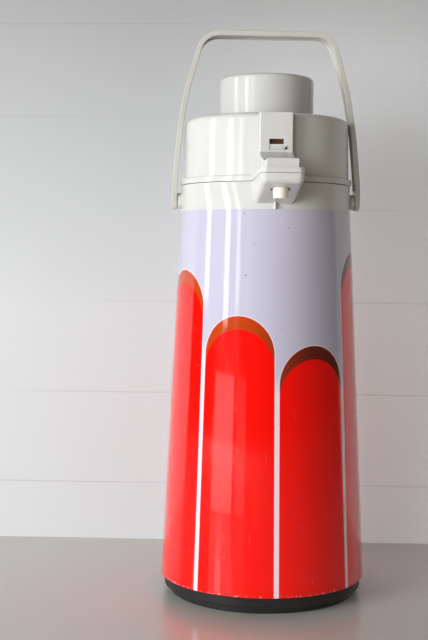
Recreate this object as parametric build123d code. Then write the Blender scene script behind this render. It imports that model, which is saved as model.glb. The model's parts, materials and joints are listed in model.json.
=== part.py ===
from build123d import *
import math
import os

# Pump-action vacuum airpot (hot or cold drinks dispenser) with a tapered painted shell, a glass
# vacuum flask, a hinged pump lid with a spout beak, and a swinging bail handle.
# Millimetres.  The origin is on the axis, on the surface that the pot stands on.
# +Z is up, the spout points to -Y, and +X is on the right when the spout faces the viewer.

# ---------------------------------------------------------------- driving dimensions
body_bottom_radius = 77.0
body_top_radius = 63.8
base_height = 13.1
body_height = 273.9
shell_wall = 1.0

fit_gap = 0.2            # between fixed pieces that slide into each other
running_gap = 0.05       # round a turning pin
tap_gap = 0.02           # round a pin or screw that is driven in
seam_gap = 0.3           # between the lid and the shoulder ring
root_overlap = 1.2       # how deep an added form starts inside the one that it grows from
cut_overrun = 5.0        # how far a cutting form runs past the surface that it cuts

base_upper_setback = 2.5     # how far the base ring stands inside the shell's edge
base_lower_setback = 6.9
base_step_height = 5.0
base_floor_height = 8.0
base_foot_round = 1.6
base_step_round = 1.4
base_step_corner = 0.8
base_bore_inset = 19.0       # bore for the base cap, inside the shell's lower edge
base_spigot_inset = 8.0
base_spigot_height = 7.0
base_spigot_wall = 3.0

cap_flange_height = 2.0
cap_flange_width = 1.8
cap_floor = 3.0
cap_height = 14.0
cap_wall = 3.0
grip_pocket_offset = 30.0
grip_pocket_length = 26.0
grip_pocket_width = 12.0
grip_pocket_depth = 1.6
cushion_half_width = 9.0
cushion_base_height = 5.0

flask_air_gap = 3.8          # between the flask and the top of the shell
flask_bottom = 20.0
flask_top_clearance = 4.0    # from the shoulder ring's bottom edge up to the outer glass's rim
glass_wall = 1.5
vacuum_gap = 2.5
vacuum_floor_gap = 4.0
vacuum_neck_gap = 0.5
flask_corner_radius = 28.0
flask_shoulder_drop = 15.0
neck_radius = 30.0           # inside of the flask's mouth
outer_throat_round = 5.0
inner_throat_round = 6.5
shoulder_flat = 0.5          # level part of the flask's shoulder between its two rounds
flask_gasket_outer_margin = 1.0
flask_gasket_inner_margin = 0.8
tip_radius = 4.0
tip_length = 8.0

ring_setback = 0.5           # the shoulder ring is this much narrower than the shell's top
ring_height = 19.5
ring_wall = 2.5
ring_spigot_depth = 6.0
ring_spigot_wall = 2.0
deck_height = 8.0            # underside of the deck above the ring's bottom edge
deck_thickness = 2.5
mouth_rim_height = 5.0
mouth_rim_wall = 3.0
ring_edge_round = 0.5

lid_setback = 1.2            # lid wall inside the shoulder ring's wall
lid_flange_proud = 1.0       # lid flange outside the shoulder ring's wall
lid_flange_height = 4.2
lid_flange_round = 1.0
lid_flange_slope = 0.3       # rise of the flange's top towards the lid's wall
lid_height = 48.7
lid_taper = 0.9
lid_wall = 2.5
lid_top_thickness = 3.0
lid_top_round = 4.5
lid_plate_thickness = 3.0
lid_plate_rim_height = 3.0
lid_plate_rim_wall = 2.2
lid_plate_drop = 3.3         # underside of the lid's base plate below the lid's bottom edge
boss_radius = 4.2
screw_radius = 1.5
screw_head_radius = 3.0
screw_head_height = 1.6
screw_reach = 12.0
screw_tip_gap = 1.0          # left below a screw's tip in its hole

beak_reach = 48.7            # front of the beak from the ring's wall
beak_front_half_width = 14.6
beak_root_half_width = 16.6
beak_corner_radius = 4.5
beak_root_inset = 19.0       # the beak's form starts this far inside the ring's wall
beak_draft = 6.0
beak_rise = 2.3              # how far the parting plane rises from the ring to the beak's front
beak_front_drop = 6.2        # depth of the beak's front face
beak_root_drop = 15.3        # depth of the beak where it meets the ring
beak_edge_round = 4.0        # lower edges of the beak
beak_wall = 2.2
beak_band_height = 3.5
beak_band_drop = 0.2         # top of the band below the lid's flange where they meet
rib_radius = 0.95
rib_depth = 2.8              # how far the rib under the beak stands out from the ring

block_half_width = 11.7
block_reach = 6.2            # face of the upright block from the ring's wall
block_root_inset = 9.5       # the block starts this far inside the ring's wall
block_bottom_above_seam = 20.0
block_top_drop = 1.5
neck_setback = 2.0           # front of the neck behind the beak's front
neck_foot = 3.0              # the neck grows out of the beak's band this far above the ring
neck_half_width = 10.5
neck_headroom = 1.0          # neck's front top edge above the parting plane, beyond the pipe's thickness
block_edge_round = 0.9
neck_sag_reach = 12.5        # from the block's face to the lowest-curving point of the neck's top
neck_sag_share = 0.28        # height left at that point, as a share of the neck's whole fall

window_half_width = 5.1
window_height = 7.5
window_above_block_bottom = 1.5
slider_height = 3.7
slider_setback = 0.5         # face of the slider's head behind the block's face
slider_ridge_radius = 0.7
slider_ridge_inset = 0.8
slider_ridge_height = 1.3
slider_plate_thickness = 1.5
slider_plate_margin = 1.9

nozzle_setback = 16.0        # nozzle's axis behind the beak's front
nozzle_wall = 1.1
nozzle_taper = 0.7           # narrowing from the nozzle's top to its tip
nozzle_tip_round = 0.5
nozzle_tip_drop = 13.8       # tip of the nozzle below the shoulder ring's top
nozzle_length = 10.6
nozzle_hole_gap = 1.4
pipe_radius = 4.5
pipe_bore_radius = 3.3
pipe_lift = 0.5              # underside of the spout pipe above the shoulder ring's top
pipe_bend = 8.0
pipe_seat = 3.3
pipe_hole_gap = 2.1          # room round the pipe's bend where it leaves the lid's base plate

dip_tube_inset = 3.0         # between the spout pipe's foot and the stopper's wall
dip_tube_radius = 4.0
dip_tube_bore_radius = 3.0
dip_tube_foot_gap = 9.0
stopper_inset = 5.0          # stopper's wall inside the flask's mouth
stopper_round = 1.2
stopper_wall = 2.5
stopper_floor = 2.0
stopper_depth = 19.5
gasket_width = 6.5
port_seal_width = 2.0
port_seal_overlap = 0.6      # how far the seal reaches down beside the dip tube
holder_wall = 1.2
holder_depth = 28.0
holder_flange = 0.8
holder_flange_width = 2.5
holder_arm_half_width = 2.0
socket_height = 10.0
socket_wall = 2.0

seat_margin = 1.5            # bellows seat outside the bellows
seat_thickness = 2.5
seat_clearance = 1.0         # between the spout pipe and the bellows seat
air_hole_radius = 5.0
seat_post_radius = 3.0
seat_post_inset = 5.2
seat_post_angle = 33.0
flap_overlap = 2.0
flap_thickness = 0.9
bellows_clearance = 3.5      # between the bellows and the button's wall
bellows_fold_depth = 5.0
bellows_wall = 1.2
bellows_folds = 6
spring_inset = 7.5           # spring's middle line inside the bellows' folds
spring_end_gap = 0.1
spring_wire_radius = 0.9
spring_turns = 6
push_plate_thickness = 2.0
plate_post_height = 2.2      # short post between the push plate and the button's ceiling
plate_post_radius = 7.0
plate_screw_bite = 1.5       # how far the screw enters the button
plate_screw_tip_gap = 0.1

button_radius = 35.2
button_hole_gap = 0.4
button_wall = 2.2
button_top_thickness = 2.7
button_height = 31.4         # above the lid's top
button_skirt = 12.5          # below the lid's top
button_flange_width = 2.8
button_flange_thickness = 2.4
button_round = 3.0

pivot_height_above_ring = 8.3
lug_radius = 5.85
lug_reach = 3.4              # face of the lug from the ring's wall
washer_setback = 0.6         # washer's edge inside the lug's edge
strap_side_gap = 0.1         # between the washer and the strap
washer_thickness = 0.4
strap_thickness = 3.8
strap_half_width = 6.5
grip_half_width = 8.85
grip_rise = 124.4            # middle of the grip's thickness above the pivots
channel_depth = 1.1
channel_rim = 1.9
channel_start = 3.0          # channel's end above the lug
leg_knees = ((12.0, 0.0), (50.0, 3.5), (81.0, 8.5))    # (height above the pivots, lean inwards)
grip_lean = 21.1
flare_start_rise = 98.0       # where the legs begin to widen towards the grip
flare_end_drop = 6.0
corner_bend = 16.0
leg_bend = 130.0
pivot_pin_radius = 2.0
pivot_head_radius = 4.0
pivot_head_height = 1.4
pivot_head_gap = 0.1
pivot_tail = 4.0             # pin's end inside the ring's wall

hinge_knuckle_radius = 4.0
hinge_gap = 0.4
hinge_drop = 2.5             # hinge axis below the shoulder ring's top
hinge_pin_radius = 1.5
lid_knuckle_half_width = 7.7
ring_knuckle_inner = 8.0
ring_knuckle_outer = 16.0
hinge_bridge_drop = 0.5      # top of the ring's knuckle bridges below the ring's top

# ---------------------------------------------------------------- places worked out from them
base_bore_radius = body_bottom_radius - base_bore_inset
base_spigot_radius = body_bottom_radius - base_spigot_inset

ring_bottom = base_height + body_height
ring_top = ring_bottom + ring_height
ring_radius = body_top_radius - ring_setback
ring_inner_radius = ring_radius - ring_wall
ring_spigot_radius = body_top_radius - shell_wall - fit_gap
deck_bottom = ring_bottom + deck_height
deck_top = deck_bottom + deck_thickness
mouth_top = deck_bottom + mouth_rim_height
beak_front = ring_radius + beak_reach
beak_start = ring_radius - beak_root_inset

flask_radius = body_top_radius - shell_wall - flask_air_gap
flask_rim = ring_bottom + flask_top_clearance
flask_lip_radius = neck_radius + 2 * glass_wall + vacuum_neck_gap
flask_shoulder = flask_rim - flask_shoulder_drop

lid_bottom = ring_top + seam_gap
lid_top = lid_bottom + lid_height
lid_radius = ring_radius - lid_setback
lid_inner_radius = lid_radius - lid_wall
lid_ceiling = lid_top - lid_top_thickness
plate_bottom = lid_bottom - lid_plate_drop
plate_top = plate_bottom + lid_plate_thickness
plate_radius = lid_inner_radius - fit_gap
button_flange_radius = button_radius + button_flange_width
boss_circle_radius = (button_flange_radius + plate_radius - lid_plate_rim_wall) / 2

stopper_radius = neck_radius - stopper_inset
dip_tube_offset = stopper_radius - stopper_wall - pipe_radius - dip_tube_inset
nozzle_offset = beak_front - nozzle_setback
nozzle_top_radius = pipe_radius + nozzle_wall
nozzle_tip_radius = nozzle_top_radius - nozzle_taper
nozzle_top = ring_top - nozzle_tip_drop + nozzle_length
pipe_axis_height = ring_top + pipe_lift + pipe_radius
pedestal_radius = dip_tube_offset - pipe_radius - seat_clearance
seat_bottom = pipe_axis_height + pipe_radius + seat_clearance
seat_top = seat_bottom + seat_thickness
button_top = lid_top + button_height
button_ceiling = button_top - button_top_thickness
button_bore_radius = button_radius - button_wall
bellows_outer_radius = button_bore_radius - bellows_clearance
bellows_inner_radius = bellows_outer_radius - bellows_fold_depth
spring_radius = bellows_inner_radius - spring_inset
seat_radius = bellows_outer_radius + seat_margin
push_plate_top = button_ceiling - plate_post_height
push_plate_bottom = push_plate_top - push_plate_thickness

stopper_bottom = plate_bottom - stopper_depth
holder_top = mouth_top + holder_flange
holder_bottom = mouth_top - holder_depth
holder_radius = neck_radius - fit_gap
dip_tube_top = stopper_bottom - seam_gap

pivot_height = ring_bottom + pivot_height_above_ring
lug_face = ring_radius + lug_reach
strap_inner = lug_face + washer_thickness + strap_side_gap
strap_middle = strap_inner + strap_thickness / 2
strap_outer = strap_inner + strap_thickness
hinge_offset = ring_radius + hinge_knuckle_radius + hinge_gap
hinge_height = ring_top - hinge_drop

block_front = ring_radius + block_reach
block_back = ring_radius - block_root_inset
block_bottom = ring_top + block_bottom_above_seam
neck_front = beak_front - neck_setback
neck_front_height = 2 * pipe_radius + neck_headroom
window_bottom = block_bottom + window_above_block_bottom


# ---------------------------------------------------------------- helpers
def outline(points, rounds=()):
    """A flat face through the points, with the listed (point, radius) corners rounded."""
    face = Polygon(*points, align=None)
    for corner, radius in rounds:
        vertex = face.vertices().sort_by_distance(Vector(*corner))[0]
        face = fillet(vertex, radius)
    return face


def turned(points, rounds=()):
    """A solid of revolution about Z from a (radius, height) outline."""
    return revolve(Plane.XZ * outline(points, rounds), Axis.Z)


def tube(outer, inner, bottom, top, x=0.0, y=0.0):
    """An upright tube, or a plain cylinder when inner is 0."""
    section = Circle(outer)
    if inner > 0:
        section -= Circle(inner)
    return extrude(Pos(x, y, bottom) * section, amount=top - bottom)


def side_cylinder(radius, x_start, x_end, y, z):
    """A cylinder that lies along X."""
    face = Plane((x_start, y, z), x_dir=(0, 1, 0), z_dir=(1, 0, 0)) * Circle(radius)
    return extrude(face, amount=x_end - x_start)


def side_prism(face, half_width):
    """A (y, z) face pulled out along X to both sides."""
    return extrude(Plane.YZ * face, amount=half_width, both=True)


def block(x, y, z):
    """A box from its (low, high) spans."""
    spans = (x, y, z)
    size = [high - low for low, high in spans]
    middle = [(high + low) / 2 for low, high in spans]
    return Pos(*middle) * Box(*size)


def boss_places():
    """(x, y) of the four screw bosses that hold the lid's base plate."""
    places = []
    for angle in (45, 135, 225, 315):
        turn = math.radians(angle)
        places.append((boss_circle_radius * math.cos(turn), boss_circle_radius * math.sin(turn)))
    return places


def seam_height(y):
    """Height of the parting plane between lid and ring, which rises along the beak."""
    forward = max(0.0, -y - ring_radius)
    return ring_top + beak_rise * forward / (beak_front - ring_radius)


# ---------------------------------------------------------------- base and shell
def outer_shell():
    lip_radius = base_spigot_radius + fit_gap
    points = [
        (body_bottom_radius, base_height),
        (body_top_radius, ring_bottom),
        (body_top_radius - shell_wall, ring_bottom),
        (body_bottom_radius - shell_wall, base_height + shell_wall),
        (lip_radius, base_height + shell_wall),
        (lip_radius, base_height),
    ]
    return turned(points, [((body_bottom_radius, base_height), 0.7 * shell_wall)])


def base_ring():
    upper = body_bottom_radius - base_upper_setback
    lower = body_bottom_radius - base_lower_setback
    counterbore = base_bore_radius + cap_flange_width + fit_gap
    spigot_inner = base_spigot_radius - base_spigot_wall
    points = [
        (counterbore, 0),
        (lower, 0),
        (lower, base_step_height),
        (upper, base_step_height),
        (upper, base_height),
        (base_spigot_radius, base_height),
        (base_spigot_radius, base_height + base_spigot_height),
        (spigot_inner, base_height + base_spigot_height),
        (spigot_inner, base_floor_height),
        (base_bore_radius, base_floor_height),
        (base_bore_radius, cap_flange_height),
        (counterbore, cap_flange_height),
    ]
    rounds = [
        ((lower, 0), base_foot_round),
        ((upper, base_step_height), base_step_round),
        ((lower, base_step_height), base_step_corner),
    ]
    return turned(points, rounds)


def base_cap():
    barrel = base_bore_radius - fit_gap
    points = [
        (0, 0),
        (base_bore_radius + cap_flange_width, 0),
        (base_bore_radius + cap_flange_width, cap_flange_height),
        (barrel, cap_flange_height),
        (barrel, cap_height),
        (barrel - cap_wall, cap_height),
        (barrel - cap_wall, cap_floor),
        (0, cap_floor),
    ]
    cap = turned(points)
    pocket = extrude(SlotOverall(grip_pocket_length, grip_pocket_width), amount=grip_pocket_depth)
    for side in (-1, 1):
        cap -= Pos(0, side * grip_pocket_offset, 0) * pocket
    return cap


def flask_cushion():
    seat_radius_on_glass = flask_radius - flask_corner_radius
    inner = seat_radius_on_glass - cushion_half_width
    outer = seat_radius_on_glass + cushion_half_width
    points = [
        (inner, cap_floor),
        (outer, cap_floor),
        (outer, cap_floor + cushion_base_height),
        (seat_radius_on_glass, flask_bottom),
        (inner, flask_bottom),
    ]
    return turned(points)


# ---------------------------------------------------------------- glass flask
def bottle(radius, bottom, shoulder, neck, top, corner, throat):
    """A closed bottle body: round lower corner, round shoulder and a straight neck."""
    points = [(0, bottom), (radius, bottom), (radius, shoulder), (neck, shoulder), (neck, top), (0, top)]
    rounds = [
        ((radius, bottom), corner),
        ((radius, shoulder), radius - neck - throat - shoulder_flat),
        ((neck, shoulder), throat),
    ]
    return turned(points, rounds)


def flask_outer():
    throat = outer_throat_round
    body = bottle(
        flask_radius, flask_bottom, flask_shoulder, flask_lip_radius, flask_rim, flask_corner_radius, throat
    )
    body -= bottle(
        flask_radius - glass_wall,
        flask_bottom + glass_wall,
        flask_shoulder - glass_wall,
        flask_lip_radius - glass_wall,
        flask_rim,
        flask_corner_radius - glass_wall,
        throat + glass_wall,
    )
    tip = Cone(tip_radius / 3, tip_radius, tip_length, align=(Align.CENTER, Align.CENTER, Align.MAX))
    return body + Pos(0, 0, flask_bottom) * tip


def flask_inner():
    inset = glass_wall + vacuum_gap
    throat = inner_throat_round
    radius = flask_radius - inset
    bottom = flask_bottom + glass_wall + vacuum_floor_gap
    shoulder = flask_shoulder - inset
    body = bottle(
        radius, bottom, shoulder, neck_radius + glass_wall, flask_rim, flask_corner_radius - inset, throat
    )
    body += tube(flask_lip_radius, 0, flask_rim, flask_rim + glass_wall)
    body -= bottle(
        radius - glass_wall,
        bottom + glass_wall,
        shoulder - glass_wall,
        neck_radius,
        flask_rim + glass_wall,
        flask_corner_radius - inset - glass_wall,
        throat + glass_wall,
    )
    return body


def flask_gasket():
    outer = flask_lip_radius + flask_gasket_outer_margin
    inner = neck_radius + flask_gasket_inner_margin
    return tube(outer, inner, flask_rim + glass_wall, deck_bottom)


def tube_holder():
    """Sleeve in the flask's mouth with an arm and a socket that carry the dip tube."""
    inner = holder_radius - holder_wall
    sleeve = tube(holder_radius, inner, holder_bottom, holder_top)
    sleeve += tube(holder_radius + holder_flange_width, inner, mouth_top, holder_top)
    socket_top = holder_bottom + socket_height
    socket = tube(dip_tube_radius + socket_wall, 0, holder_bottom, socket_top, y=-dip_tube_offset)
    arm = block(
        (-holder_arm_half_width, holder_arm_half_width),
        (-inner - holder_wall / 2, -dip_tube_offset),
        (holder_bottom, socket_top),
    )
    bore = tube(dip_tube_radius + tap_gap, 0, holder_bottom, socket_top, y=-dip_tube_offset)
    return sleeve + socket + arm - bore


def dip_tube():
    foot = flask_bottom + 2 * glass_wall + vacuum_floor_gap + dip_tube_foot_gap
    return tube(dip_tube_radius, dip_tube_bore_radius, foot, dip_tube_top, y=-dip_tube_offset)


# ---------------------------------------------------------------- shoulder ring with the lower beak
def beak_plan(inset):
    """Plan of the beak, from inside the ring to its front, drawn inset from the outer surface."""
    front = beak_front_half_width - inset
    reach = beak_front - inset
    widening = (beak_root_half_width - beak_front_half_width) / (beak_front - ring_radius)
    back = front + widening * (reach - beak_start)
    points = [(-back, -beak_start), (-front, -reach), (front, -reach), (back, -beak_start)]
    corner = beak_corner_radius - inset / 2
    return outline(points, [((-front, -reach), corner), ((front, -reach), corner)])


def lower_beak(inset, headroom):
    """The trough's outer form with round lower edges, or its plain hollow when inset is the wall."""
    top_plane = Pos(0, 0, ring_top + beak_rise)
    depth = beak_root_drop + beak_rise + cut_overrun
    drafted = extrude(top_plane * beak_plan(inset), amount=depth, dir=(0, 0, -1), taper=beak_draft)
    behind = beak_start - cut_overrun
    reach = beak_front + cut_overrun
    nose = seam_height(-beak_front) - beak_front_drop + inset
    root = ring_top - beak_root_drop + inset
    fall = (nose - root) / (beak_front - ring_radius)
    points = [
        (-behind, ring_top + headroom),
        (-ring_radius, ring_top + headroom),
        (-reach, seam_height(-reach) + headroom),
        (-reach, nose + fall * (reach - beak_front)),
        (-behind, root - fall * (ring_radius - behind)),
    ]
    trough = drafted & side_prism(outline(points), beak_root_half_width + cut_overrun)
    if inset:
        return trough
    underside = min(trough.faces(), key=lambda face: face.normal_at().Z)
    round_edges = [edge for edge in underside.edges() if edge.center().Y < -beak_start - fit_gap]
    return fillet(round_edges, beak_edge_round)


def upright_rib():
    """Rib on the ring's wall, from its lower edge up into the beak's underside."""
    top = ring_top - beak_root_drop + root_overlap
    spine_y = -ring_radius - rib_depth + rib_radius
    web = block((-rib_radius, rib_radius), (spine_y, -ring_radius + root_overlap), (ring_bottom, top))
    return web + tube(rib_radius, 0, ring_bottom, top, y=spine_y)


def hinge_knuckle(x_start, x_end):
    body = side_cylinder(hinge_knuckle_radius, x_start, x_end, hinge_offset, hinge_height)
    body += block(
        (x_start, x_end),
        (ring_radius - root_overlap, hinge_offset),
        (hinge_height - hinge_knuckle_radius, ring_top - hinge_bridge_drop),
    )
    return body


def shoulder_ring():
    spigot_bottom = ring_bottom - ring_spigot_depth
    points = [
        (ring_inner_radius, ring_top),
        (ring_radius, ring_top),
        (ring_radius, ring_bottom),
        (ring_spigot_radius, ring_bottom),
        (ring_spigot_radius, spigot_bottom),
        (ring_spigot_radius - ring_spigot_wall, spigot_bottom),
        (ring_spigot_radius - ring_spigot_wall, deck_bottom),
        (neck_radius, deck_bottom),
        (neck_radius, mouth_top),
        (neck_radius + mouth_rim_wall, mouth_top),
        (neck_radius + mouth_rim_wall, deck_top),
        (ring_inner_radius, deck_top),
    ]
    body = turned(points, [((ring_radius, ring_top), ring_edge_round)])
    above = ring_top + beak_rise + cut_overrun
    body += lower_beak(0, 0) - tube(ring_radius - root_overlap, 0, ring_bottom, above)
    body -= lower_beak(beak_wall, cut_overrun) - tube(ring_radius, 0, ring_bottom, above)
    body -= tube(nozzle_top_radius + nozzle_hole_gap, 0, ring_bottom, ring_top, y=-nozzle_offset)
    body += upright_rib()
    for side in (-1, 1):
        root = side * (ring_radius - root_overlap)
        pin_end = side * (ring_inner_radius - pivot_tail)
        body += side_cylinder(lug_radius, root, side * lug_face, 0, pivot_height)
        body -= side_cylinder(pivot_pin_radius + tap_gap, pin_end, side * lug_face, 0, pivot_height)
        span = sorted((side * ring_knuckle_inner, side * ring_knuckle_outer))
        body += hinge_knuckle(*span)
    body -= side_cylinder(
        hinge_pin_radius + tap_gap, -ring_knuckle_outer, ring_knuckle_outer, hinge_offset, hinge_height
    )
    return body


# ---------------------------------------------------------------- lid
def neck_side(inset):
    """Side view of the beak's neck: a hollow sweep from the block down to a low front edge."""
    face_y = -block_front + inset
    front_y = -neck_front + inset
    crook = block_bottom - inset
    front_top = seam_height(-neck_front) + neck_front_height - inset
    sag_y = -block_front - neck_sag_reach
    sag = front_top + neck_sag_share * (block_bottom - seam_height(-neck_front) - neck_front_height)
    floor = ring_top if inset else ring_top + neck_foot
    start = -block_back
    lines = [
        Line((start, crook), (face_y, crook)),
        ThreePointArc((face_y, crook), (sag_y, sag), (front_y, front_top)),
        Line((front_y, front_top), (front_y, floor)),
        Line((front_y, floor), (start, floor)),
        Line((start, floor), (start, crook)),
    ]
    return make_face(Wire(lines))


def neck_plan(inset):
    front = -neck_front - cut_overrun
    points = [
        (-block_half_width + inset, -block_back),
        (-block_half_width + inset, -block_front),
        (-neck_half_width + inset, front),
        (neck_half_width - inset, front),
        (block_half_width - inset, -block_front),
        (block_half_width - inset, -block_back),
    ]
    return outline(points)


def neck_form(inset):
    """The neck with the upright block behind it, or their hollow when inset is the wall."""
    plan = Pos(0, 0, ring_top - cut_overrun) * neck_plan(inset)
    neck = extrude(plan, amount=lid_height) & side_prism(neck_side(inset), block_half_width + cut_overrun)
    half = block_half_width - inset
    front = -block_front + inset
    points = [(-half, -block_back), (-half, front), (half, front), (half, -block_back)]
    rounds = [] if inset else [((-half, front), block_edge_round), ((half, front), block_edge_round)]
    footprint = outline(points, rounds)
    bottom = ring_top + neck_foot
    top = lid_top - block_top_drop - inset
    return neck + extrude(Pos(0, 0, bottom) * footprint, amount=top - bottom)


def beak_band():
    """Flange band of the lid carried round the beak."""
    height = beak_rise + beak_band_height + 2 * cut_overrun
    plan = extrude(Pos(0, 0, ring_top - cut_overrun) * beak_plan(0), amount=height)
    start = beak_start
    reach = beak_front + cut_overrun
    band_top = lid_bottom + lid_flange_height - beak_band_drop
    points = [
        (-start, lid_bottom),
        (-ring_radius, lid_bottom),
        (-reach, seam_height(-reach) + seam_gap),
        (-reach, seam_height(-reach) + seam_gap + beak_band_height),
        (-ring_radius, band_top),
        (-start, band_top),
    ]
    return plan & side_prism(outline(points), beak_root_half_width + cut_overrun)


def lid_cover():
    flange = ring_radius + lid_flange_proud
    upper = lid_radius - lid_taper
    flange_top = lid_bottom + lid_flange_height
    outer = [
        (0, lid_bottom),
        (flange, lid_bottom),
        (flange, flange_top),
        (lid_radius, flange_top + lid_flange_slope),
        (upper, lid_top),
        (0, lid_top),
    ]
    body = turned(outer, [((upper, lid_top), lid_top_round), ((flange, flange_top), lid_flange_round)])
    body += neck_form(0) + beak_band()
    hollow = [
        (0, lid_bottom),
        (lid_inner_radius, lid_bottom),
        (upper - lid_wall, lid_ceiling),
        (0, lid_ceiling),
    ]
    body -= turned(hollow)
    body -= neck_form(beak_wall)
    body -= tube(button_radius + button_hole_gap, 0, lid_ceiling - cut_overrun, lid_top + cut_overrun)
    window_depth = (-block_front - cut_overrun, -block_front + beak_wall)
    body -= block(
        (-window_half_width, window_half_width),
        window_depth,
        (window_bottom, window_bottom + window_height),
    )
    for x, y in boss_places():
        body += tube(boss_radius, 0, plate_top, lid_ceiling + root_overlap, x, y)
        body -= tube(screw_radius + tap_gap, 0, plate_top, plate_top + screw_reach, x, y)
    body += lid_knuckle()
    half = lid_knuckle_half_width
    body -= side_cylinder(hinge_pin_radius + running_gap, -half, half, hinge_offset, hinge_height)
    return body


def lid_knuckle():
    """Rear arm of the lid that wraps the hinge pin between the ring's knuckles."""
    inner_y = ring_radius + hinge_gap
    root = ring_radius - root_overlap
    arm_top = lid_bottom + lid_flange_height
    points = [
        (root, lid_bottom),
        (root, arm_top),
        (hinge_offset, arm_top),
        (hinge_offset + hinge_knuckle_radius, hinge_height),
        (hinge_offset, hinge_height),
        (inner_y, hinge_height),
        (inner_y, lid_bottom),
    ]
    half = lid_knuckle_half_width
    arm = side_prism(outline(points), half)
    return arm + side_cylinder(hinge_knuckle_radius, -half, half, hinge_offset, hinge_height)


def hinge_pin():
    half = ring_knuckle_outer
    return side_cylinder(hinge_pin_radius, -half, half, hinge_offset, hinge_height)


def lid_base():
    """Base plate that closes the lid from below, with a locating rim inside the lid's wall."""
    radius = plate_radius
    body = tube(radius, 0, plate_bottom, plate_top)
    rim_top = plate_top + lid_plate_rim_height
    rim = tube(radius, radius - lid_plate_rim_wall, plate_top, rim_top)
    rim -= block((-block_half_width, block_half_width), (-radius - cut_overrun, 0), (plate_top, rim_top))
    body += rim
    body -= tube(pipe_radius + pipe_hole_gap, 0, plate_bottom, plate_top, y=-dip_tube_offset)
    body -= tube(air_hole_radius, 0, plate_bottom, plate_top)
    for x, y in boss_places():
        body -= tube(screw_radius + fit_gap, 0, plate_bottom, plate_top, x, y)
    return body


def lid_screws():
    screws = []
    tip = plate_top + screw_reach - screw_tip_gap
    for x, y in boss_places():
        head = tube(screw_head_radius, 0, plate_bottom - screw_head_height, plate_bottom, x, y)
        shank = tube(screw_radius, 0, plate_bottom, tip, x, y)
        screws.append((head + shank).solid())
    return Compound(screws)


def stopper():
    points = [
        (0, stopper_bottom),
        (stopper_radius, stopper_bottom),
        (stopper_radius, plate_bottom),
        (stopper_radius - stopper_wall, plate_bottom),
        (stopper_radius - stopper_wall, stopper_bottom + stopper_floor),
        (0, stopper_bottom + stopper_floor),
    ]
    body = turned(points, [((stopper_radius, stopper_bottom), stopper_round)])
    floor_top = stopper_bottom + stopper_floor
    body -= tube(pipe_bore_radius, 0, stopper_bottom, floor_top, y=-dip_tube_offset)
    body -= tube(air_hole_radius, 0, stopper_bottom, floor_top, y=stopper_radius / 3)
    return body


def stopper_gasket():
    inner = stopper_radius + fit_gap
    return tube(inner + gasket_width, inner, holder_top + seam_gap, plate_bottom)


def port_seal():
    """Soft ring under the stopper that meets the top of the dip tube."""
    inner = dip_tube_radius + seam_gap
    bottom = dip_tube_top - port_seal_overlap
    return tube(inner + port_seal_width, inner, bottom, stopper_bottom, y=-dip_tube_offset)


def spout_pipe():
    start = stopper_bottom + stopper_floor
    end = nozzle_top - pipe_seat
    path = FilletPolyline(
        (0, -dip_tube_offset, start),
        (0, -dip_tube_offset, pipe_axis_height),
        (0, -nozzle_offset, pipe_axis_height),
        (0, -nozzle_offset, end),
        radius=pipe_bend,
    )
    section = Pos(0, -dip_tube_offset, start) * (Circle(pipe_radius) - Circle(pipe_bore_radius))
    return sweep(section, path=path)


def nozzle():
    top = nozzle_top
    tip = top - nozzle_length
    seat = top - pipe_seat
    bore = pipe_radius + tap_gap
    points = [
        (pipe_bore_radius, tip),
        (nozzle_tip_radius, tip),
        (nozzle_top_radius, top),
        (bore, top),
        (bore, seat),
        (pipe_bore_radius, seat),
    ]
    body = turned(points, [((nozzle_tip_radius, tip), nozzle_tip_round)])
    return Pos(0, -nozzle_offset, 0) * body


def bellows_seat():
    body = tube(seat_radius, air_hole_radius, seat_bottom, seat_top)
    body += tube(pedestal_radius, air_hole_radius, plate_top, seat_bottom)
    circle = seat_radius - seat_post_inset
    x = circle * math.cos(math.radians(seat_post_angle))
    y = circle * math.sin(math.radians(seat_post_angle))
    for side in (-1, 1):
        body += tube(seat_post_radius, 0, plate_top, seat_bottom, side * x, y)
    return body


def valve_flap():
    return tube(air_hole_radius + flap_overlap, 0, seat_top, seat_top + flap_thickness)


# ---------------------------------------------------------------- pump
def bellows():
    height = push_plate_bottom - seat_top
    pitch = height / bellows_folds
    outside = [(bellows_inner_radius, seat_top)]
    for fold in range(bellows_folds):
        outside.append((bellows_outer_radius, seat_top + (fold + 0.5) * pitch))
        outside.append((bellows_inner_radius, seat_top + (fold + 1) * pitch))
    inside = [(radius - bellows_wall, z) for radius, z in reversed(outside)]
    return turned(outside + inside)


def return_spring():
    height = push_plate_bottom - seat_top - 2 * spring_wire_radius - spring_end_gap
    start = seat_top + spring_wire_radius
    coil = Helix(pitch=height / spring_turns, height=height, radius=spring_radius, center=(0, 0, start))
    section = Plane(coil @ 0, z_dir=coil % 0) * Circle(spring_wire_radius)
    return sweep(section, path=coil, is_frenet=True)


def push_plate():
    body = tube(bellows_outer_radius, 0, push_plate_bottom, push_plate_top)
    body += tube(plate_post_radius, 0, push_plate_top, button_ceiling)
    return body - tube(screw_radius + fit_gap, 0, push_plate_bottom, button_ceiling)


def plate_screw():
    head = tube(screw_head_radius, 0, push_plate_bottom - screw_head_height, push_plate_bottom)
    return head + tube(screw_radius, 0, push_plate_bottom, button_ceiling + plate_screw_bite)


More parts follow.
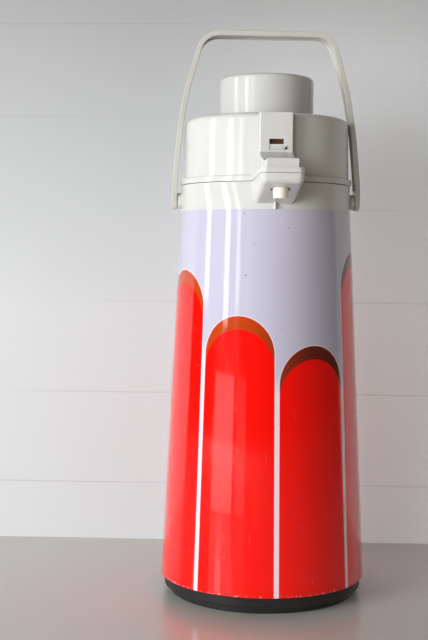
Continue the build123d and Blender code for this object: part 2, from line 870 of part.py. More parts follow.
def button_cap():
    skirt_bottom = lid_top - button_skirt
    flange_top = lid_ceiling - seam_gap
    flange_bottom = flange_top - button_flange_thickness
    points = [
        (0, button_top),
        (button_radius, button_top),
        (button_radius, flange_top),
        (button_flange_radius, flange_top),
        (button_flange_radius, flange_bottom),
        (button_radius, flange_bottom),
        (button_radius, skirt_bottom),
        (button_bore_radius, skirt_bottom),
        (button_bore_radius, button_ceiling),
        (0, button_ceiling),
    ]
    body = turned(points, [((button_radius, button_top), button_round)])
    hole_top = button_ceiling + plate_screw_bite + plate_screw_tip_gap
    return body - tube(screw_radius + tap_gap, 0, button_ceiling, hole_top)


# ---------------------------------------------------------------- lock slider
def lock_slider():
    """Slide with a ridged head in the window's lower half and a back plate that closes the window."""
    plate_front = -block_front + beak_wall + seam_gap
    head_front = -block_front + slider_setback
    half = window_half_width - fit_gap
    bottom = window_bottom + fit_gap
    head = block((-half, half), (head_front, plate_front), (bottom, bottom + slider_height))
    plate = block(
        (-half - slider_plate_margin, half + slider_plate_margin),
        (plate_front, plate_front + slider_plate_thickness),
        (bottom - slider_plate_margin, window_bottom + window_height + slider_plate_margin),
    )
    ridge_half = half - slider_ridge_inset
    ridge_height = bottom + slider_ridge_height
    ridge = side_cylinder(slider_ridge_radius, -ridge_half, ridge_half, head_front, ridge_height)
    return head + plate + ridge


# ---------------------------------------------------------------- bail handle
def strap_path():
    """Middle line of the strap: upright legs that lean in, round corners and a flat grip."""
    grip_height = pivot_height + grip_rise
    right = [(strap_middle, pivot_height - strap_half_width - cut_overrun)]
    right += [(strap_middle - lean, pivot_height + rise) for rise, lean in leg_knees]
    right += [(strap_middle - grip_lean, grip_height)]
    left = [(-x, z) for x, z in reversed(right)]
    points = [(x, 0, z) for x, z in right + left]
    bends = [leg_bend, leg_bend, leg_bend, corner_bend, corner_bend, leg_bend, leg_bend, leg_bend]
    return FilletPolyline(*points, radius=bends)


def strap_side(inset):
    """Side view of the bail: round pivot ends, slim legs and a wider grip."""
    slim = strap_half_width - inset
    wide = grip_half_width - inset
    foot = pivot_height if not inset else pivot_height + lug_radius + channel_start
    flare_start = pivot_height + flare_start_rise
    flare_end = pivot_height + grip_rise - flare_end_drop
    top = pivot_height + grip_rise + strap_thickness
    points = [(slim, foot), (slim, flare_start), (wide, flare_end), (wide, top)]
    mirrored = [(-y, z) for y, z in reversed(points)]
    body = outline(points + mirrored)
    if not inset:
        body += Pos(0, pivot_height) * Circle(slim)
    return body


def strap_band(thickness, shift):
    """The strap's path swept with a wide rectangle, moved by shift towards the inside of the bail."""
    path = strap_path()
    start = path @ 0
    section_plane = Plane(start + Vector(-shift, 0, 0), x_dir=(1, 0, 0), z_dir=(0, 0, 1))
    return sweep(section_plane * Rectangle(thickness, 3 * grip_half_width), path=path)


def bail_handle():
    reach = strap_middle + strap_thickness
    body = strap_band(strap_thickness, 0) & side_prism(strap_side(0), reach)
    inner_shift = (strap_thickness - channel_depth) / 2
    body -= strap_band(channel_depth, inner_shift) & side_prism(strap_side(channel_rim), reach)
    for side in (-1, 1):
        inner = side * (strap_inner - cut_overrun)
        outer = side * (strap_outer + cut_overrun)
        head_seat = side * (strap_outer - pivot_head_height - 2 * pivot_head_gap)
        body -= side_cylinder(pivot_pin_radius + running_gap, inner, outer, 0, pivot_height)
        body -= side_cylinder(pivot_head_radius + fit_gap, head_seat, outer, 0, pivot_height)
    return body


def handle_pins():
    pins = []
    head_inner = strap_outer - pivot_head_height - pivot_head_gap
    head_outer = strap_outer - pivot_head_gap
    for side in (-1, 1):
        tail = side * (ring_inner_radius - pivot_tail)
        shank = side_cylinder(pivot_pin_radius, tail, side * head_outer, 0, pivot_height)
        head = side_cylinder(pivot_head_radius, side * head_inner, side * head_outer, 0, pivot_height)
        pins.append((shank + head).solid())
    return Compound(pins)


def handle_washers():
    washers = []
    for side in (-1, 1):
        start = side * lug_face
        end = side * (lug_face + washer_thickness)
        ring = side_cylinder(lug_radius - washer_setback, start, end, 0, pivot_height)
        ring -= side_cylinder(pivot_pin_radius + fit_gap, start, end, 0, pivot_height)
        washers.append(ring.solid())
    return Compound(washers)


# ---------------------------------------------------------------- build every piece
pieces = [
    outer_shell,
    base_ring,
    base_cap,
    flask_cushion,
    flask_outer,
    flask_inner,
    flask_gasket,
    tube_holder,
    dip_tube,
    shoulder_ring,
    hinge_pin,
    handle_pins,
    handle_washers,
    bail_handle,
    lid_cover,
    lid_base,
    lid_screws,
    stopper,
    stopper_gasket,
    port_seal,
    spout_pipe,
    nozzle,
    bellows_seat,
    valve_flap,
    bellows,
    return_spring,
    push_plate,
    plate_screw,
    button_cap,
    lock_slider,
]

os.makedirs("parts", exist_ok=True)
for make in pieces:
    export_step(make(), f"parts/{make.__name__}.step")
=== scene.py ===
"""Looks for the pump airpot: materials, fine pieces, camera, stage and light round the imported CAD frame."""

import json
import math

import bmesh
import bpy
from mathutils import Matrix, Vector


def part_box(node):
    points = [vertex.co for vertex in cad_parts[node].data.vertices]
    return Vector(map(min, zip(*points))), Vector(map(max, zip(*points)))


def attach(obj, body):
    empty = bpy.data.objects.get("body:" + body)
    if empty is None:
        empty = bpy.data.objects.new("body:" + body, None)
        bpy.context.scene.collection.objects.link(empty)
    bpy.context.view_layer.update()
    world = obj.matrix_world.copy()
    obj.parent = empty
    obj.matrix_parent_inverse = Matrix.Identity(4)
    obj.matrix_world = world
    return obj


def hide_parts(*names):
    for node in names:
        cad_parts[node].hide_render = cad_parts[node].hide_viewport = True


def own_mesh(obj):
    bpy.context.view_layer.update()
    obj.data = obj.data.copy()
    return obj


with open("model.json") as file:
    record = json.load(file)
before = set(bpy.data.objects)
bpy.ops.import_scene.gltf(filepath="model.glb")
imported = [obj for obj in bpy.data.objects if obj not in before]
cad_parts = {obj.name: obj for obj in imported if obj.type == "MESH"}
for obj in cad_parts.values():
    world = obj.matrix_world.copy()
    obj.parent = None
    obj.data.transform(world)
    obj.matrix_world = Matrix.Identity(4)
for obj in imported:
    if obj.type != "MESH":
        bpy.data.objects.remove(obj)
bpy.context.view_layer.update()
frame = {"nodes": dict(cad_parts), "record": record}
node = frame["nodes"]

MM = 0.001

# ------------------------------------------------------------------ the painted wall
shell_low, shell_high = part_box("outer_shell")
SHELL_BOTTOM = shell_low.z
SHELL_TOP = shell_high.z
SHELL_BOTTOM_RADIUS = 77.0 * MM     # outside, at the lower edge
SHELL_TOP_RADIUS = 63.8 * MM        # outside, at the upper edge

# ------------------------------------------------------------------ the painted pattern
SEAM_TURN = math.radians(1.85)      # the pattern's front gap stands this far from the spout
FRONT_COLUMNS = 2.0                 # columns of the front pitch on each side of the front gap
FRONT_PITCH_AT_BOTTOM = math.radians(45.95)
FRONT_PITCH_AT_TOP = math.radians(47.3)
COLUMN_TOPS = (190.5 * MM, 258.0 * MM, 243.5 * MM, 211.5 * MM)     # right of the front gap first, then round
ARCH_HEIGHT = 27.5 * MM
CRESCENT_DEPTH = 9.5 * MM
CRESCENT_PAINTED_SHADE_TURN = math.radians(25)    # painted shade darkens the crescents from this far left of the front to as far right
GAP_HALF_WIDTH = 1.85 * MM
GAP_FADE_START = 0.6 * ARCH_HEIGHT  # a gap turns pale from this far below the lower arch beside it
GAP_FADE_END = 1.3 * ARCH_HEIGHT
GAP_PALENESS = 0.95
HALO_WIDTH = 0.7 * MM               # pale line round each arch
HALO_PALENESS = 0.75
PRINT_EDGE = 0.22 * MM              # softness of the printed edges
CHIPS_START = 2.4 * MM              # the rim's chips begin this far above its edge
CHIPS_FULL = 0.3 * MM               # and are thickest from here down


# ------------------------------------------------------------------ node helpers
class Nodes:
    """A material with one main shader, and short ways to add and link its nodes."""

    INPUTS = {
        "color": "Base Color",
        "rough": "Roughness",
        "metal": "Metallic",
        "coat": "Coat Weight",
        "coat_rough": "Coat Roughness",
        "specular": "Specular IOR Level",
        "subsurface": "Subsurface Weight",
        "emission": "Emission Color",
        "glow": "Emission Strength",
    }

    def __init__(self, name):
        self.material = bpy.data.materials.new(name)
        self.material.use_nodes = True
        self.tree = self.material.node_tree
        self.tree.nodes.clear()
        self.output = self.new("OutputMaterial")
        self.shader = self.new("BsdfPrincipled")
        self.link(self.shader.outputs[0], self.output.inputs["Surface"])

    def new(self, kind):
        return self.tree.nodes.new("ShaderNode" + kind)

    def link(self, value, socket):
        """Wires another node's output to the socket, or sets the socket to a constant."""
        if isinstance(value, bpy.types.NodeSocket):
            self.tree.links.new(value, socket)
        else:
            socket.default_value = value

    def math(self, operation, *values):
        made = self.new("Math")
        made.operation = operation
        for value, socket in zip(values, made.inputs):
            self.link(value, socket)
        return made.outputs[0]

    def plus(self, a, b):
        return self.math("ADD", a, b)

    def minus(self, a, b):
        return self.math("SUBTRACT", a, b)

    def times(self, a, b):
        return self.math("MULTIPLY", a, b)

    def over(self, a, b):
        return self.math("DIVIDE", a, b)

    def smooth(self, value, low, high):
        """0 at low and 1 at high, eased between, and level past both."""
        made = self.new("MapRange")
        made.interpolation_type = "SMOOTHSTEP"
        self.link(value, made.inputs["Value"])
        self.link(low, made.inputs["From Min"])
        self.link(high, made.inputs["From Max"])
        return made.outputs["Result"]

    def remap(self, value, low, high, to_low, to_high):
        """Goes evenly from to_low at low to to_high at high, and level past both."""
        made = self.new("MapRange")
        self.link(value, made.inputs["Value"])
        self.link(low, made.inputs["From Min"])
        self.link(high, made.inputs["From Max"])
        self.link(to_low, made.inputs["To Min"])
        self.link(to_high, made.inputs["To Max"])
        return made.outputs["Result"]

    def mix(self, share, a, b):
        """Colour a at share 0, colour b at share 1."""
        made = self.new("Mix")
        made.data_type = "RGBA"
        self.link(share, made.inputs["Factor"])
        self.link(a, made.inputs[6])
        self.link(b, made.inputs[7])
        return made.outputs[2]

    def point(self):
        return self.new("TexCoord").outputs["Object"]

    def split(self, vector):
        made = self.new("SeparateXYZ")
        self.link(vector, made.inputs[0])
        return made.outputs

    def turn(self, vector, angle):
        """The vector turned about Z."""
        made = self.new("VectorRotate")
        made.rotation_type = "Z_AXIS"
        self.link(angle, made.inputs["Angle"])
        self.link(vector, made.inputs["Vector"])
        return made.outputs[0]

    def stretch(self, vector, scale):
        made = self.new("Mapping")
        self.link(vector, made.inputs["Vector"])
        self.link(scale, made.inputs["Scale"])
        return made.outputs[0]

    def noise(self, vector, scale=1.0, detail=3.0, roughness=0.5):
        made = self.new("TexNoise")
        self.link(vector, made.inputs["Vector"])
        self.link(scale, made.inputs["Scale"])
        self.link(detail, made.inputs["Detail"])
        self.link(roughness, made.inputs["Roughness"])
        return made.outputs["Fac"]

    def bump(self, height, strength, distance):
        made = self.new("Bump")
        self.link(strength, made.inputs["Strength"])
        self.link(distance, made.inputs["Distance"])
        self.link(height, made.inputs["Height"])
        self.link(made.outputs[0], self.shader.inputs["Normal"])

    def set(self, **values):
        for key, value in values.items():
            self.link(value, self.shader.inputs[self.INPUTS[key]])

    def clear_from_behind(self):
        """The back of the surface lets sight and light through."""
        side = self.new("NewGeometry")
        clear = self.new("BsdfTransparent")
        both = self.new("MixShader")
        self.link(side.outputs["Backfacing"], both.inputs[0])
        self.link(self.shader.outputs[0], both.inputs[1])
        self.link(clear.outputs[0], both.inputs[2])
        self.link(both.outputs[0], self.output.inputs["Surface"])


def rgb(r, g, b):
    """sRGB 0-255 to a linear colour."""
    def linear(v):
        v = v / 255
        return v / 12.92 if v <= 0.04045 else ((v + 0.055) / 1.055) ** 2.4
    return (linear(r), linear(g), linear(b), 1.0)


def darker(colour, share):
    return tuple(share * c for c in colour[:3]) + (1.0,)


# ------------------------------------------------------------------ painted shell
def turn_from_front(n, x, y):
    """Angle round the pot from the front, minus on its left."""
    return n.math("ARCTAN2", x, n.times(y, -1.0))


def column_places(n, x, y, z):
    """Place in columns round the pot, the column's number, the distance along the wall from its middle
    line, and half its width. The rear columns are narrower, so that eight close the pattern."""
    turn = turn_from_front(n, x, y)
    side = n.math("SIGN", turn)
    away = n.math("ABSOLUTE", turn)
    front_pitch = n.remap(z, SHELL_BOTTOM, SHELL_TOP, FRONT_PITCH_AT_BOTTOM, FRONT_PITCH_AT_TOP)
    rear_pitch = n.minus(math.radians(90), front_pitch)
    in_front = n.over(away, front_pitch)
    past = n.over(n.minus(away, n.times(front_pitch, FRONT_COLUMNS)), rear_pitch)
    rear = n.math("GREATER_THAN", in_front, FRONT_COLUMNS)
    count = n.plus(n.math("MINIMUM", in_front, FRONT_COLUMNS), n.math("MAXIMUM", past, 0.0))
    pitch = n.plus(front_pitch, n.times(rear, n.minus(rear_pitch, front_pitch)))
    radius = n.remap(z, SHELL_BOTTOM, SHELL_TOP, SHELL_BOTTOM_RADIUS, SHELL_TOP_RADIUS)
    width = n.times(pitch, radius)
    signed = n.times(count, side)
    column = n.math("FLOOR", signed)
    off_middle = n.minus(n.minus(signed, column), 0.5)
    across = n.math("ABSOLUTE", n.times(off_middle, width))
    half = n.minus(n.times(width, 0.5), GAP_HALF_WIDTH)
    return signed, column, across, half


def column_top(n, column):
    """Height of a column's arch by its number; the four heights repeat round the pot."""
    heights = float(len(COLUMN_TOPS))
    step = n.math("MODULO", n.plus(column, 2.0 * heights), heights)
    top = 0.0
    for index, height in enumerate(COLUMN_TOPS):
        here = n.times(n.math("COMPARE", step, float(index), 0.5), height)
        top = n.plus(here, top)
    return top


def inside_arch(n, z, top, across, half, grow=0.0):
    """1 inside a column with a half-round top that ends at the height top, grown all round by grow."""
    spring = n.minus(top, ARCH_HEIGHT)
    rise = n.over(n.math("MAXIMUM", n.minus(z, spring), 0.0), ARCH_HEIGHT)
    side = n.over(across, half)
    reach = n.math("SQRT", n.plus(n.math("POWER", rise, 2.0), n.math("POWER", side, 2.0)))
    outside = n.minus(n.times(n.minus(reach, 1.0), half), grow)
    return n.minus(1.0, n.smooth(outside, -PRINT_EDGE, PRINT_EDGE))


def crescent_colour_and_painted_light(n, x, y, cloud):
    """Bronze lacquer with a painted reflection and painted shade: orange on the pot's left and darker brown
    towards its right.
    """
    # painted light and shade: the crescents go from reflection-lit orange on the left to shaded brown on the
    # right
    shade = n.smooth(turn_from_front(n, x, y), -CRESCENT_PAINTED_SHADE_TURN, CRESCENT_PAINTED_SHADE_TURN)
    bright = n.mix(cloud, rgb(190, 60, 8), rgb(200, 72, 16))
    painted_shade_brown = n.mix(cloud, rgb(96, 30, 16), rgb(108, 36, 20))
    return n.mix(shade, bright, painted_shade_brown)


def pattern_colour(n, place):
    """Lilac ground, pale gaps and haloes, red columns and the crescents on their tops."""
    x, y, z = n.split(n.turn(place, -SEAM_TURN))
    signed, column, across, half = column_places(n, x, y, z)
    top = column_top(n, column)
    beside = n.math("FLOOR", n.plus(signed, 0.5))
    lower_top = n.math("MINIMUM", column_top(n, beside), column_top(n, n.minus(beside, 1.0)))
    outer = inside_arch(n, z, top, across, half)
    halo = inside_arch(n, z, top, across, half, HALO_WIDTH)
    inner = inside_arch(n, z, n.minus(top, CRESCENT_DEPTH), across, half)

    cloud = n.noise(place, scale=9.0, detail=4.0)
    lilac = n.mix(cloud, rgb(196, 193, 212), rgb(202, 199, 218))
    pale = n.mix(cloud, rgb(250, 220, 230), rgb(253, 226, 236))
    red = n.mix(cloud, rgb(249, 10, 2), rgb(253, 14, 3))
    gap = n.smooth(z, n.minus(lower_top, GAP_FADE_START), n.minus(lower_top, GAP_FADE_END))
    paleness = n.math("MAXIMUM", n.times(halo, HALO_PALENESS), n.times(gap, GAP_PALENESS))
    ground = n.mix(paleness, lilac, pale)
    with_crescents = n.mix(outer, ground, crescent_colour_and_painted_light(n, x, y, cloud))
    return n.mix(inner, with_crescents, red)


def painted_shell():
    """Lithographed tin: the pattern with its wear, under a thin clear lacquer."""
    n = Nodes("painted_shell")
    place = n.point()
    colour = pattern_colour(n, place)

    # small chips along the lower rim, down to pale metal
    rim = n.smooth(n.split(place)["Z"], SHELL_BOTTOM + CHIPS_START, SHELL_BOTTOM + CHIPS_FULL)
    chips = n.smooth(n.noise(place, scale=420.0, roughness=0.6), 0.57, 0.61)
    colour = n.mix(n.times(chips, rim), colour, rgb(196, 176, 168))

    # a few darker specks and hairline scratches in the lacquer
    specks = n.smooth(n.noise(place, scale=260.0, detail=1.0), 0.76, 0.80)
    colour = n.mix(n.times(specks, 0.45), colour, rgb(120, 96, 92))
    scratch = n.noise(n.stretch(place, (700.0, 700.0, 22.0)), detail=2.0)
    hairline = n.smooth(scratch, 0.71, 0.76)
    colour = n.mix(n.times(hairline, 0.10), colour, rgb(236, 226, 226))

    n.set(color=colour, rough=n.remap(scratch, 0.35, 0.75, 0.055, 0.13), coat=0.25, coat_rough=0.04)
    ripple = n.noise(n.stretch(place, (34.0, 34.0, 12.0)))
    n.bump(ripple, strength=0.10, distance=0.8 * MM)
    return n.material


# ------------------------------------------------------------------ other materials
PLATE_STARTS = 1.9 * MM             # the slider's dark plate begins this far before its rear face
PLATE_IS_ALL = 1.7 * MM             # and from here back there is nothing else


def moulded(name, colour_a, colour_b, rough_low, rough_high, subsurface=0.0, grain=0.03):
    """Moulded plastic or rubber with slight colour drift, handling sheen and a fine grain."""
    n = Nodes(name)
    place = n.point()
    drift = n.remap(n.noise(place, scale=14.0, detail=4.0), 0.3, 0.7, 0.0, 1.0)
    sheen = n.noise(place, scale=60.0)
    n.set(
        color=n.mix(drift, colour_a, colour_b),
        rough=n.remap(sheen, 0.35, 0.7, rough_low, rough_high),
        subsurface=subsurface,
    )
    n.bump(n.noise(place, scale=650.0, detail=2.0), strength=grain, distance=0.2 * MM)
    return n.material


def slider_plastic():
    """Cream head; the plate behind the window is dark brown."""
    n = Nodes("slider_plastic")
    place = n.point()
    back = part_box("lock_slider")[1].y
    plate = n.smooth(n.split(place)["Y"], back - PLATE_STARTS, back - PLATE_IS_ALL)
    drift = n.noise(place, scale=60.0)
    cream = n.mix(drift, rgb(214, 214, 208), rgb(222, 222, 217))
    brown = n.mix(drift, rgb(72, 50, 34), rgb(88, 62, 42))
    n.set(color=n.mix(plate, cream, brown), rough=n.remap(drift, 0.3, 0.7, 0.2, 0.3))
    return n.material


def brushed_steel():
    n = Nodes("steel")
    colour = (0.62, 0.62, 0.63, 1.0)
    brushed = n.noise(n.stretch(n.point(), (30.0, 400.0, 400.0)))
    n.set(
        color=n.mix(brushed, colour, darker(colour, 0.8)),
        metal=1.0,
        rough=n.remap(brushed, 0.3, 0.7, 0.22, 0.38),
    )
    n.bump(brushed, strength=0.05, distance=0.1 * MM)
    return n.material


def silvered_glass():
    n = Nodes("silvered_glass")
    cloud = n.noise(n.point(), scale=25.0, detail=4.0)
    n.set(
        color=n.mix(cloud, rgb(205, 208, 212), rgb(225, 227, 230)),
        metal=0.9,
        rough=n.remap(cloud, 0.3, 0.7, 0.05, 0.12),
    )
    return n.material


FINISH = {
    "cream_plastic": moulded("cream_plastic", rgb(212, 212, 207), rgb(217, 217, 212), 0.09, 0.14),
    # painted shade: the button's cream is darker than the lid's, for light that falls off upwards
    "cream_button_painted_shade": moulded("cream_button_painted_shade", rgb(203, 203, 199), rgb(208, 208, 204), 0.14, 0.20),
    "cream_bail": moulded("cream_bail", rgb(200, 198, 189), rgb(206, 204, 196), 0.16, 0.24),
    "ivory_plastic": moulded(
        "ivory_plastic", rgb(240, 233, 218), rgb(246, 240, 227), 0.25, 0.35, subsurface=0.02
    ),
    "white_plastic": moulded("white_plastic", rgb(214, 213, 206), rgb(224, 223, 218), 0.35, 0.45),
    "base_plastic": moulded("base_plastic", rgb(30, 30, 31), rgb(42, 42, 42), 0.42, 0.58, grain=0.25),
    "food_rubber": moulded("food_rubber", rgb(176, 170, 158), rgb(190, 184, 172), 0.6, 0.75, grain=0.2),
    "steel": brushed_steel(),
    "painted_shell": painted_shell(),
    "flask_glass": silvered_glass(),
}


def finish_cad_nodes():
    """Gives each CAD node the finish of its material slot, apart from three with a finish of their own; the
    button's darker cream is painted shade.
    """
    for part in frame["record"]["subparts"]:
        mesh = node[part["node"]].data
        mesh.materials.clear()
        mesh.materials.append(FINISH[part["material_slot"]])
    node["button_cap"].data.materials[0] = FINISH["cream_button_painted_shade"]
    node["bail_handle"].data.materials[0] = FINISH["cream_bail"]
    node["lock_slider"].data.materials[0] = slider_plastic()


# ------------------------------------------------------------------ fine pieces
MERGE_DISTANCE = 2e-6               # corners closer than this become one
FLAT_ANGLE = math.radians(0.4)      # faces that meet within this become one
SHARP_ANGLE = math.radians(32)      # edges sharper than this are rounded


def add_piece(name, mesh, body, material):
    mesh.materials.clear()
    mesh.materials.append(material)
    piece = bpy.data.objects.new(name, mesh)
    bpy.context.scene.collection.objects.link(piece)
    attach(piece, body)
    return piece


def softened(name, body, width):
    """A copy of a CAD node with its sharp edges rounded, which stands for the node."""
    mesh = node[name].data.copy()
    work = bmesh.new()
    work.from_mesh(mesh)
    bmesh.ops.remove_doubles(work, verts=work.verts, dist=MERGE_DISTANCE)
    bmesh.ops.dissolve_limit(work, angle_limit=FLAT_ANGLE, verts=work.verts, edges=work.edges)
    work.to_mesh(mesh)
    work.free()
    if "custom_normal" in mesh.attributes:
        mesh.attributes.remove(mesh.attributes["custom_normal"])
    for face in mesh.polygons:
        face.use_smooth = True
    piece = add_piece(name + "_edges", mesh, body, node[name].data.materials[0])
    bevel = piece.modifiers.new("edge_round", "BEVEL")
    bevel.width = width
    bevel.segments = 2
    bevel.limit_method = "ANGLE"
    bevel.angle_limit = SHARP_ANGLE
    bevel.harden_normals = True
    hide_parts(name)


def folding(name, body):
    """A copy of a CAD node that stands for it."""
    piece = add_piece(name + "_folding", node[name].data.copy(), body, node[name].data.materials[0])
    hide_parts(name)
    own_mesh(piece)


def lock_mark():
    """Small dark triangle beside the lock slider's window, let into the face of the block."""
    slider_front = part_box("lock_slider")[0].y
    front = slider_front - 0.62 * MM
    back = slider_front + 0.1 * MM
    corners = [(5.4 * MM, 328.1 * MM), (7.4 * MM, 328.4 * MM), (6.6 * MM, 330.5 * MM)]     # x and z
    verts = [(x, y, z) for y in (front, back) for x, z in corners]
    faces = [(0, 1, 2), (5, 4, 3), (0, 3, 4, 1), (1, 4, 5, 2), (2, 5, 3, 0)]
    mesh = bpy.data.meshes.new("lock_mark")
    mesh.from_pydata(verts, [], faces)
    add_piece("lock_mark", mesh, "lid", FINISH["base_plastic"])


# ------------------------------------------------------------------ camera
CAMERA_DISTANCE = 892.98 * MM
CAMERA_HEIGHT = 250.0 * MM
CAMERA_PAN = math.radians(-2.455)
CAMERA_PITCH = math.radians(2.864)  # downwards
CAMERA_ROLL = math.radians(0.486)
CAMERA_LENS = 66.06                 # millimetres, for a sensor side of 36
SPOUT_TURN = math.radians(6.0)      # the spout points this far to the right of the camera

# takes a place from axes in which the camera's side is the front to the pot's own frame
spin = Matrix.Rotation(-SPOUT_TURN, 3, "Z")


def add_camera():
    flat = math.cos(CAMERA_PITCH)
    forward = Vector((math.sin(CAMERA_PAN) * flat, math.cos(CAMERA_PAN) * flat, -math.sin(CAMERA_PITCH)))
    right = Vector((math.cos(CAMERA_PAN), -math.sin(CAMERA_PAN), 0.0))
    up = right.cross(forward)
    side = right * math.cos(CAMERA_ROLL) + up * math.sin(CAMERA_ROLL)
    top = -right * math.sin(CAMERA_ROLL) + up * math.cos(CAMERA_ROLL)
    place = spin @ Vector((0, -CAMERA_DISTANCE, CAMERA_HEIGHT))
    matrix = Matrix.Identity(4)
    for column, axis in enumerate((side, top, -forward)):
        matrix.col[column] = (*(spin @ axis), 0.0)
    matrix.col[3] = (*place, 1.0)
    data = bpy.data.cameras.new("camera")
    data.lens = CAMERA_LENS
    data.sensor_width = 36.0
    data.sensor_fit = "AUTO"
    data.clip_start = 0.02
    data.clip_end = 50
    camera = bpy.data.objects.new("camera", data)
    bpy.context.scene.collection.objects.link(camera)
    camera.matrix_world = matrix
    bpy.context.scene.camera = camera


# ------------------------------------------------------------------ stage, in metres
WALL_Y = 0.150                      # the wall stands this far behind the pot's axis
WALL_LEFT = -0.80
WALL_RIGHT = 0.75
WALL_TOP = 2.0
FLOOR_REACH = 3.0
BOARD_HEIGHT = 0.0815
BOARD_START = 0.031                 # the lowest joint stands a board less this above the floor
JOINT_FADE = (0.020, 0.008)         # a joint fades in between these shares of a board
PAINTED_SHADE_HEIGHTS = (0.20, 0.52)         # painted shade greys the wall from pale to grey between these
LIT_HEIGHTS = (0.54, 0.38)          # a painted glow of room light fades in downwards between these
LIT_PLACES = (-0.12, 0.10)          # and from left to right between these
LIT_LEFT = 0.015                    # how bright it is on the left
LIT_MORE_RIGHT = 0.27               # and how much brighter on the right


def table_material():
    n = Nodes("table")
    colour = rgb(213, 214, 208)
    cloud = n.noise(n.point(), scale=3.0)
    n.set(color=n.mix(cloud, colour, darker(colour, 0.985)), rough=0.18, specular=0.42)
    return n.material


def wall_material():
    """Pale painted boards with faint joints, with painted shade that greys them high up and a faint painted
    glow of room light low on the right.
    """
    n = Nodes("wall")
    x, y, z = n.split(n.point())
    course = n.math("FRACT", n.over(n.plus(z, BOARD_START), BOARD_HEIGHT))
    patchy = n.smooth(n.noise(n.point(), scale=4.0, detail=2.0), 0.35, 0.6)
    joint = n.times(n.smooth(course, *JOINT_FADE), patchy)
    # painted shade: the boards grey towards the top
    high = n.remap(z, *PAINTED_SHADE_HEIGHTS, 0.0, 1.0)
    boards = n.mix(high, rgb(211, 216, 217), rgb(165, 165, 165))
    colour = n.mix(n.times(joint, 0.22), boards, rgb(120, 120, 118))
    # painted light: an emitted glow stands in for room light, low and to the right
    low = n.smooth(z, *LIT_HEIGHTS)
    rightward = n.smooth(n.plus(x, n.times(y, -0.1)), *LIT_PLACES)
    painted_room_light = n.times(n.plus(n.times(rightward, LIT_MORE_RIGHT), LIT_LEFT), low)
    glow = n.times(painted_room_light, n.minus(1.0, n.times(joint, 0.15)))
    n.set(color=colour, rough=0.7, specular=0.2, emission=rgb(226, 225, 226), glow=glow)
    n.clear_from_behind()
    return n.material


def stage_plane(name, corners, material):
    mesh = bpy.data.meshes.new(name)
    mesh.from_pydata([tuple(spin @ Vector(c)) for c in corners], [], [tuple(range(len(corners)))])
    plane = bpy.data.objects.new(name, mesh)
    bpy.context.scene.collection.objects.link(plane)
    mesh.materials.append(material)


def add_stage():
    far = FLOOR_REACH
    stage_plane("floor", [(-far, -far, 0), (far, -far, 0), (far, far, 0), (-far, far, 0)], table_material())
    low_edge = [(WALL_LEFT, WALL_Y, 0), (WALL_RIGHT, WALL_Y, 0)]
    top_edge = [(WALL_RIGHT, WALL_Y, WALL_TOP), (WALL_LEFT, WALL_Y, WALL_TOP)]
    stage_plane("backdrop", low_edge + top_edge, wall_material())


# ------------------------------------------------------------------ light
def area_light(name, azimuth, elevation, distance, size, power,
               target_z=0.2, colour=(1, 1, 1), gloss_only=False):
    """A rectangular light at an azimuth from the camera's side of the pot, minus to the left. It shows in
    no reflection, or with gloss_only in nothing else."""
    a = math.radians(azimuth)
    e = math.radians(elevation)
    target = Vector((0, 0, target_z))
    reach = Vector((math.sin(a) * math.cos(e), -math.cos(a) * math.cos(e), math.sin(e))) * distance
    place = spin @ reach + target
    data = bpy.data.lights.new(name, "AREA")
    data.shape = "RECTANGLE"
    data.size, data.size_y = size
    data.energy = power
    data.color = colour
    light = bpy.data.objects.new(name, data)
    bpy.context.scene.collection.objects.link(light)
    light.location = place
    light.rotation_euler = (target - place).to_track_quat("-Z", "Y").to_euler()
    light.visible_glossy = gloss_only
    light.visible_diffuse = not gloss_only
    light.visible_camera = False


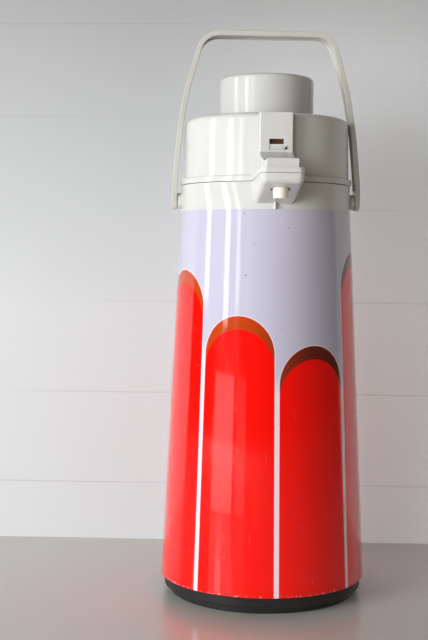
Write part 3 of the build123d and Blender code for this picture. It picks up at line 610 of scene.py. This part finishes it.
def pane(name, azimuths, heights, distance, radiance):
    """A reflected window pane or bright table: seen in gloss only, between two azimuths and two heights."""
    left, right = azimuths
    bottom, top = heights
    width = 2 * distance * math.tan(math.radians(abs(right - left) / 2))
    height = top - bottom
    power = radiance * math.pi * width * height
    area_light(name, (left + right) / 2, 0.0, distance, (width, height), power,
               target_z=(bottom + top) / 2, gloss_only=True)


def add_world():
    """Dim warm light from all round."""
    world = bpy.data.worlds.new("studio")
    bpy.context.scene.world = world
    world.use_nodes = True
    background = world.node_tree.nodes["Background"]
    background.inputs["Color"].default_value = (1.0, 0.92, 0.82, 1.0)
    background.inputs["Strength"].default_value = 0.07


def add_light():
    add_world()
    area_light("window_soft", azimuth=-47, elevation=4, distance=1.7, size=(1.1, 0.9), power=39.0,
               target_z=0.13, colour=(0.97, 0.98, 1.0))
    area_light("front_fill", azimuth=-14, elevation=8, distance=1.9, size=(0.5, 0.5), power=5.0)
    area_light("room_fill", azimuth=44, elevation=20, distance=2.2, size=(2.0, 1.6), power=3.4,
               colour=(1.0, 0.76, 0.52))
    area_light("rear_fill", azimuth=205, elevation=30, distance=2.2, size=(1.6, 1.6), power=9.0)
    area_light("rear_side_fill", azimuth=135, elevation=10, distance=2.2, size=(1.0, 1.2), power=3.0)
    pane("pane_far", azimuths=(-82.5, -75.5), heights=(0.29, 1.2), distance=1.8, radiance=6.0)
    pane("pane_middle", azimuths=(-52.5, -46.0), heights=(0.26, 1.2), distance=1.8, radiance=7.0)
    pane("pane_near", azimuths=(-36.5, -32.0), heights=(0.30, 1.2), distance=1.8, radiance=4.0)
    pane("pane_faint", azimuths=(-25.0, -19.0), heights=(0.30, 1.2), distance=1.8, radiance=0.5)
    pane("table_glow", azimuths=(-58.0, -34.0), heights=(0.004, 0.165), distance=0.6, radiance=1.6)
    pane("table_glow_edge", azimuths=(-30.0, -19.5), heights=(0.004, 0.165), distance=0.6, radiance=0.45)
    bpy.context.scene.view_settings.view_transform = "Standard"


# ------------------------------------------------------------------ the scene
finish_cad_nodes()
softened("lid_cover", "lid", 0.5 * MM)
softened("shoulder_ring", "pot", 0.4 * MM)
softened("bail_handle", "handle", 0.6 * MM)
for name in ("bellows", "return_spring"):
    folding(name, "lid")
lock_mark()
add_camera()
add_stage()
add_light()
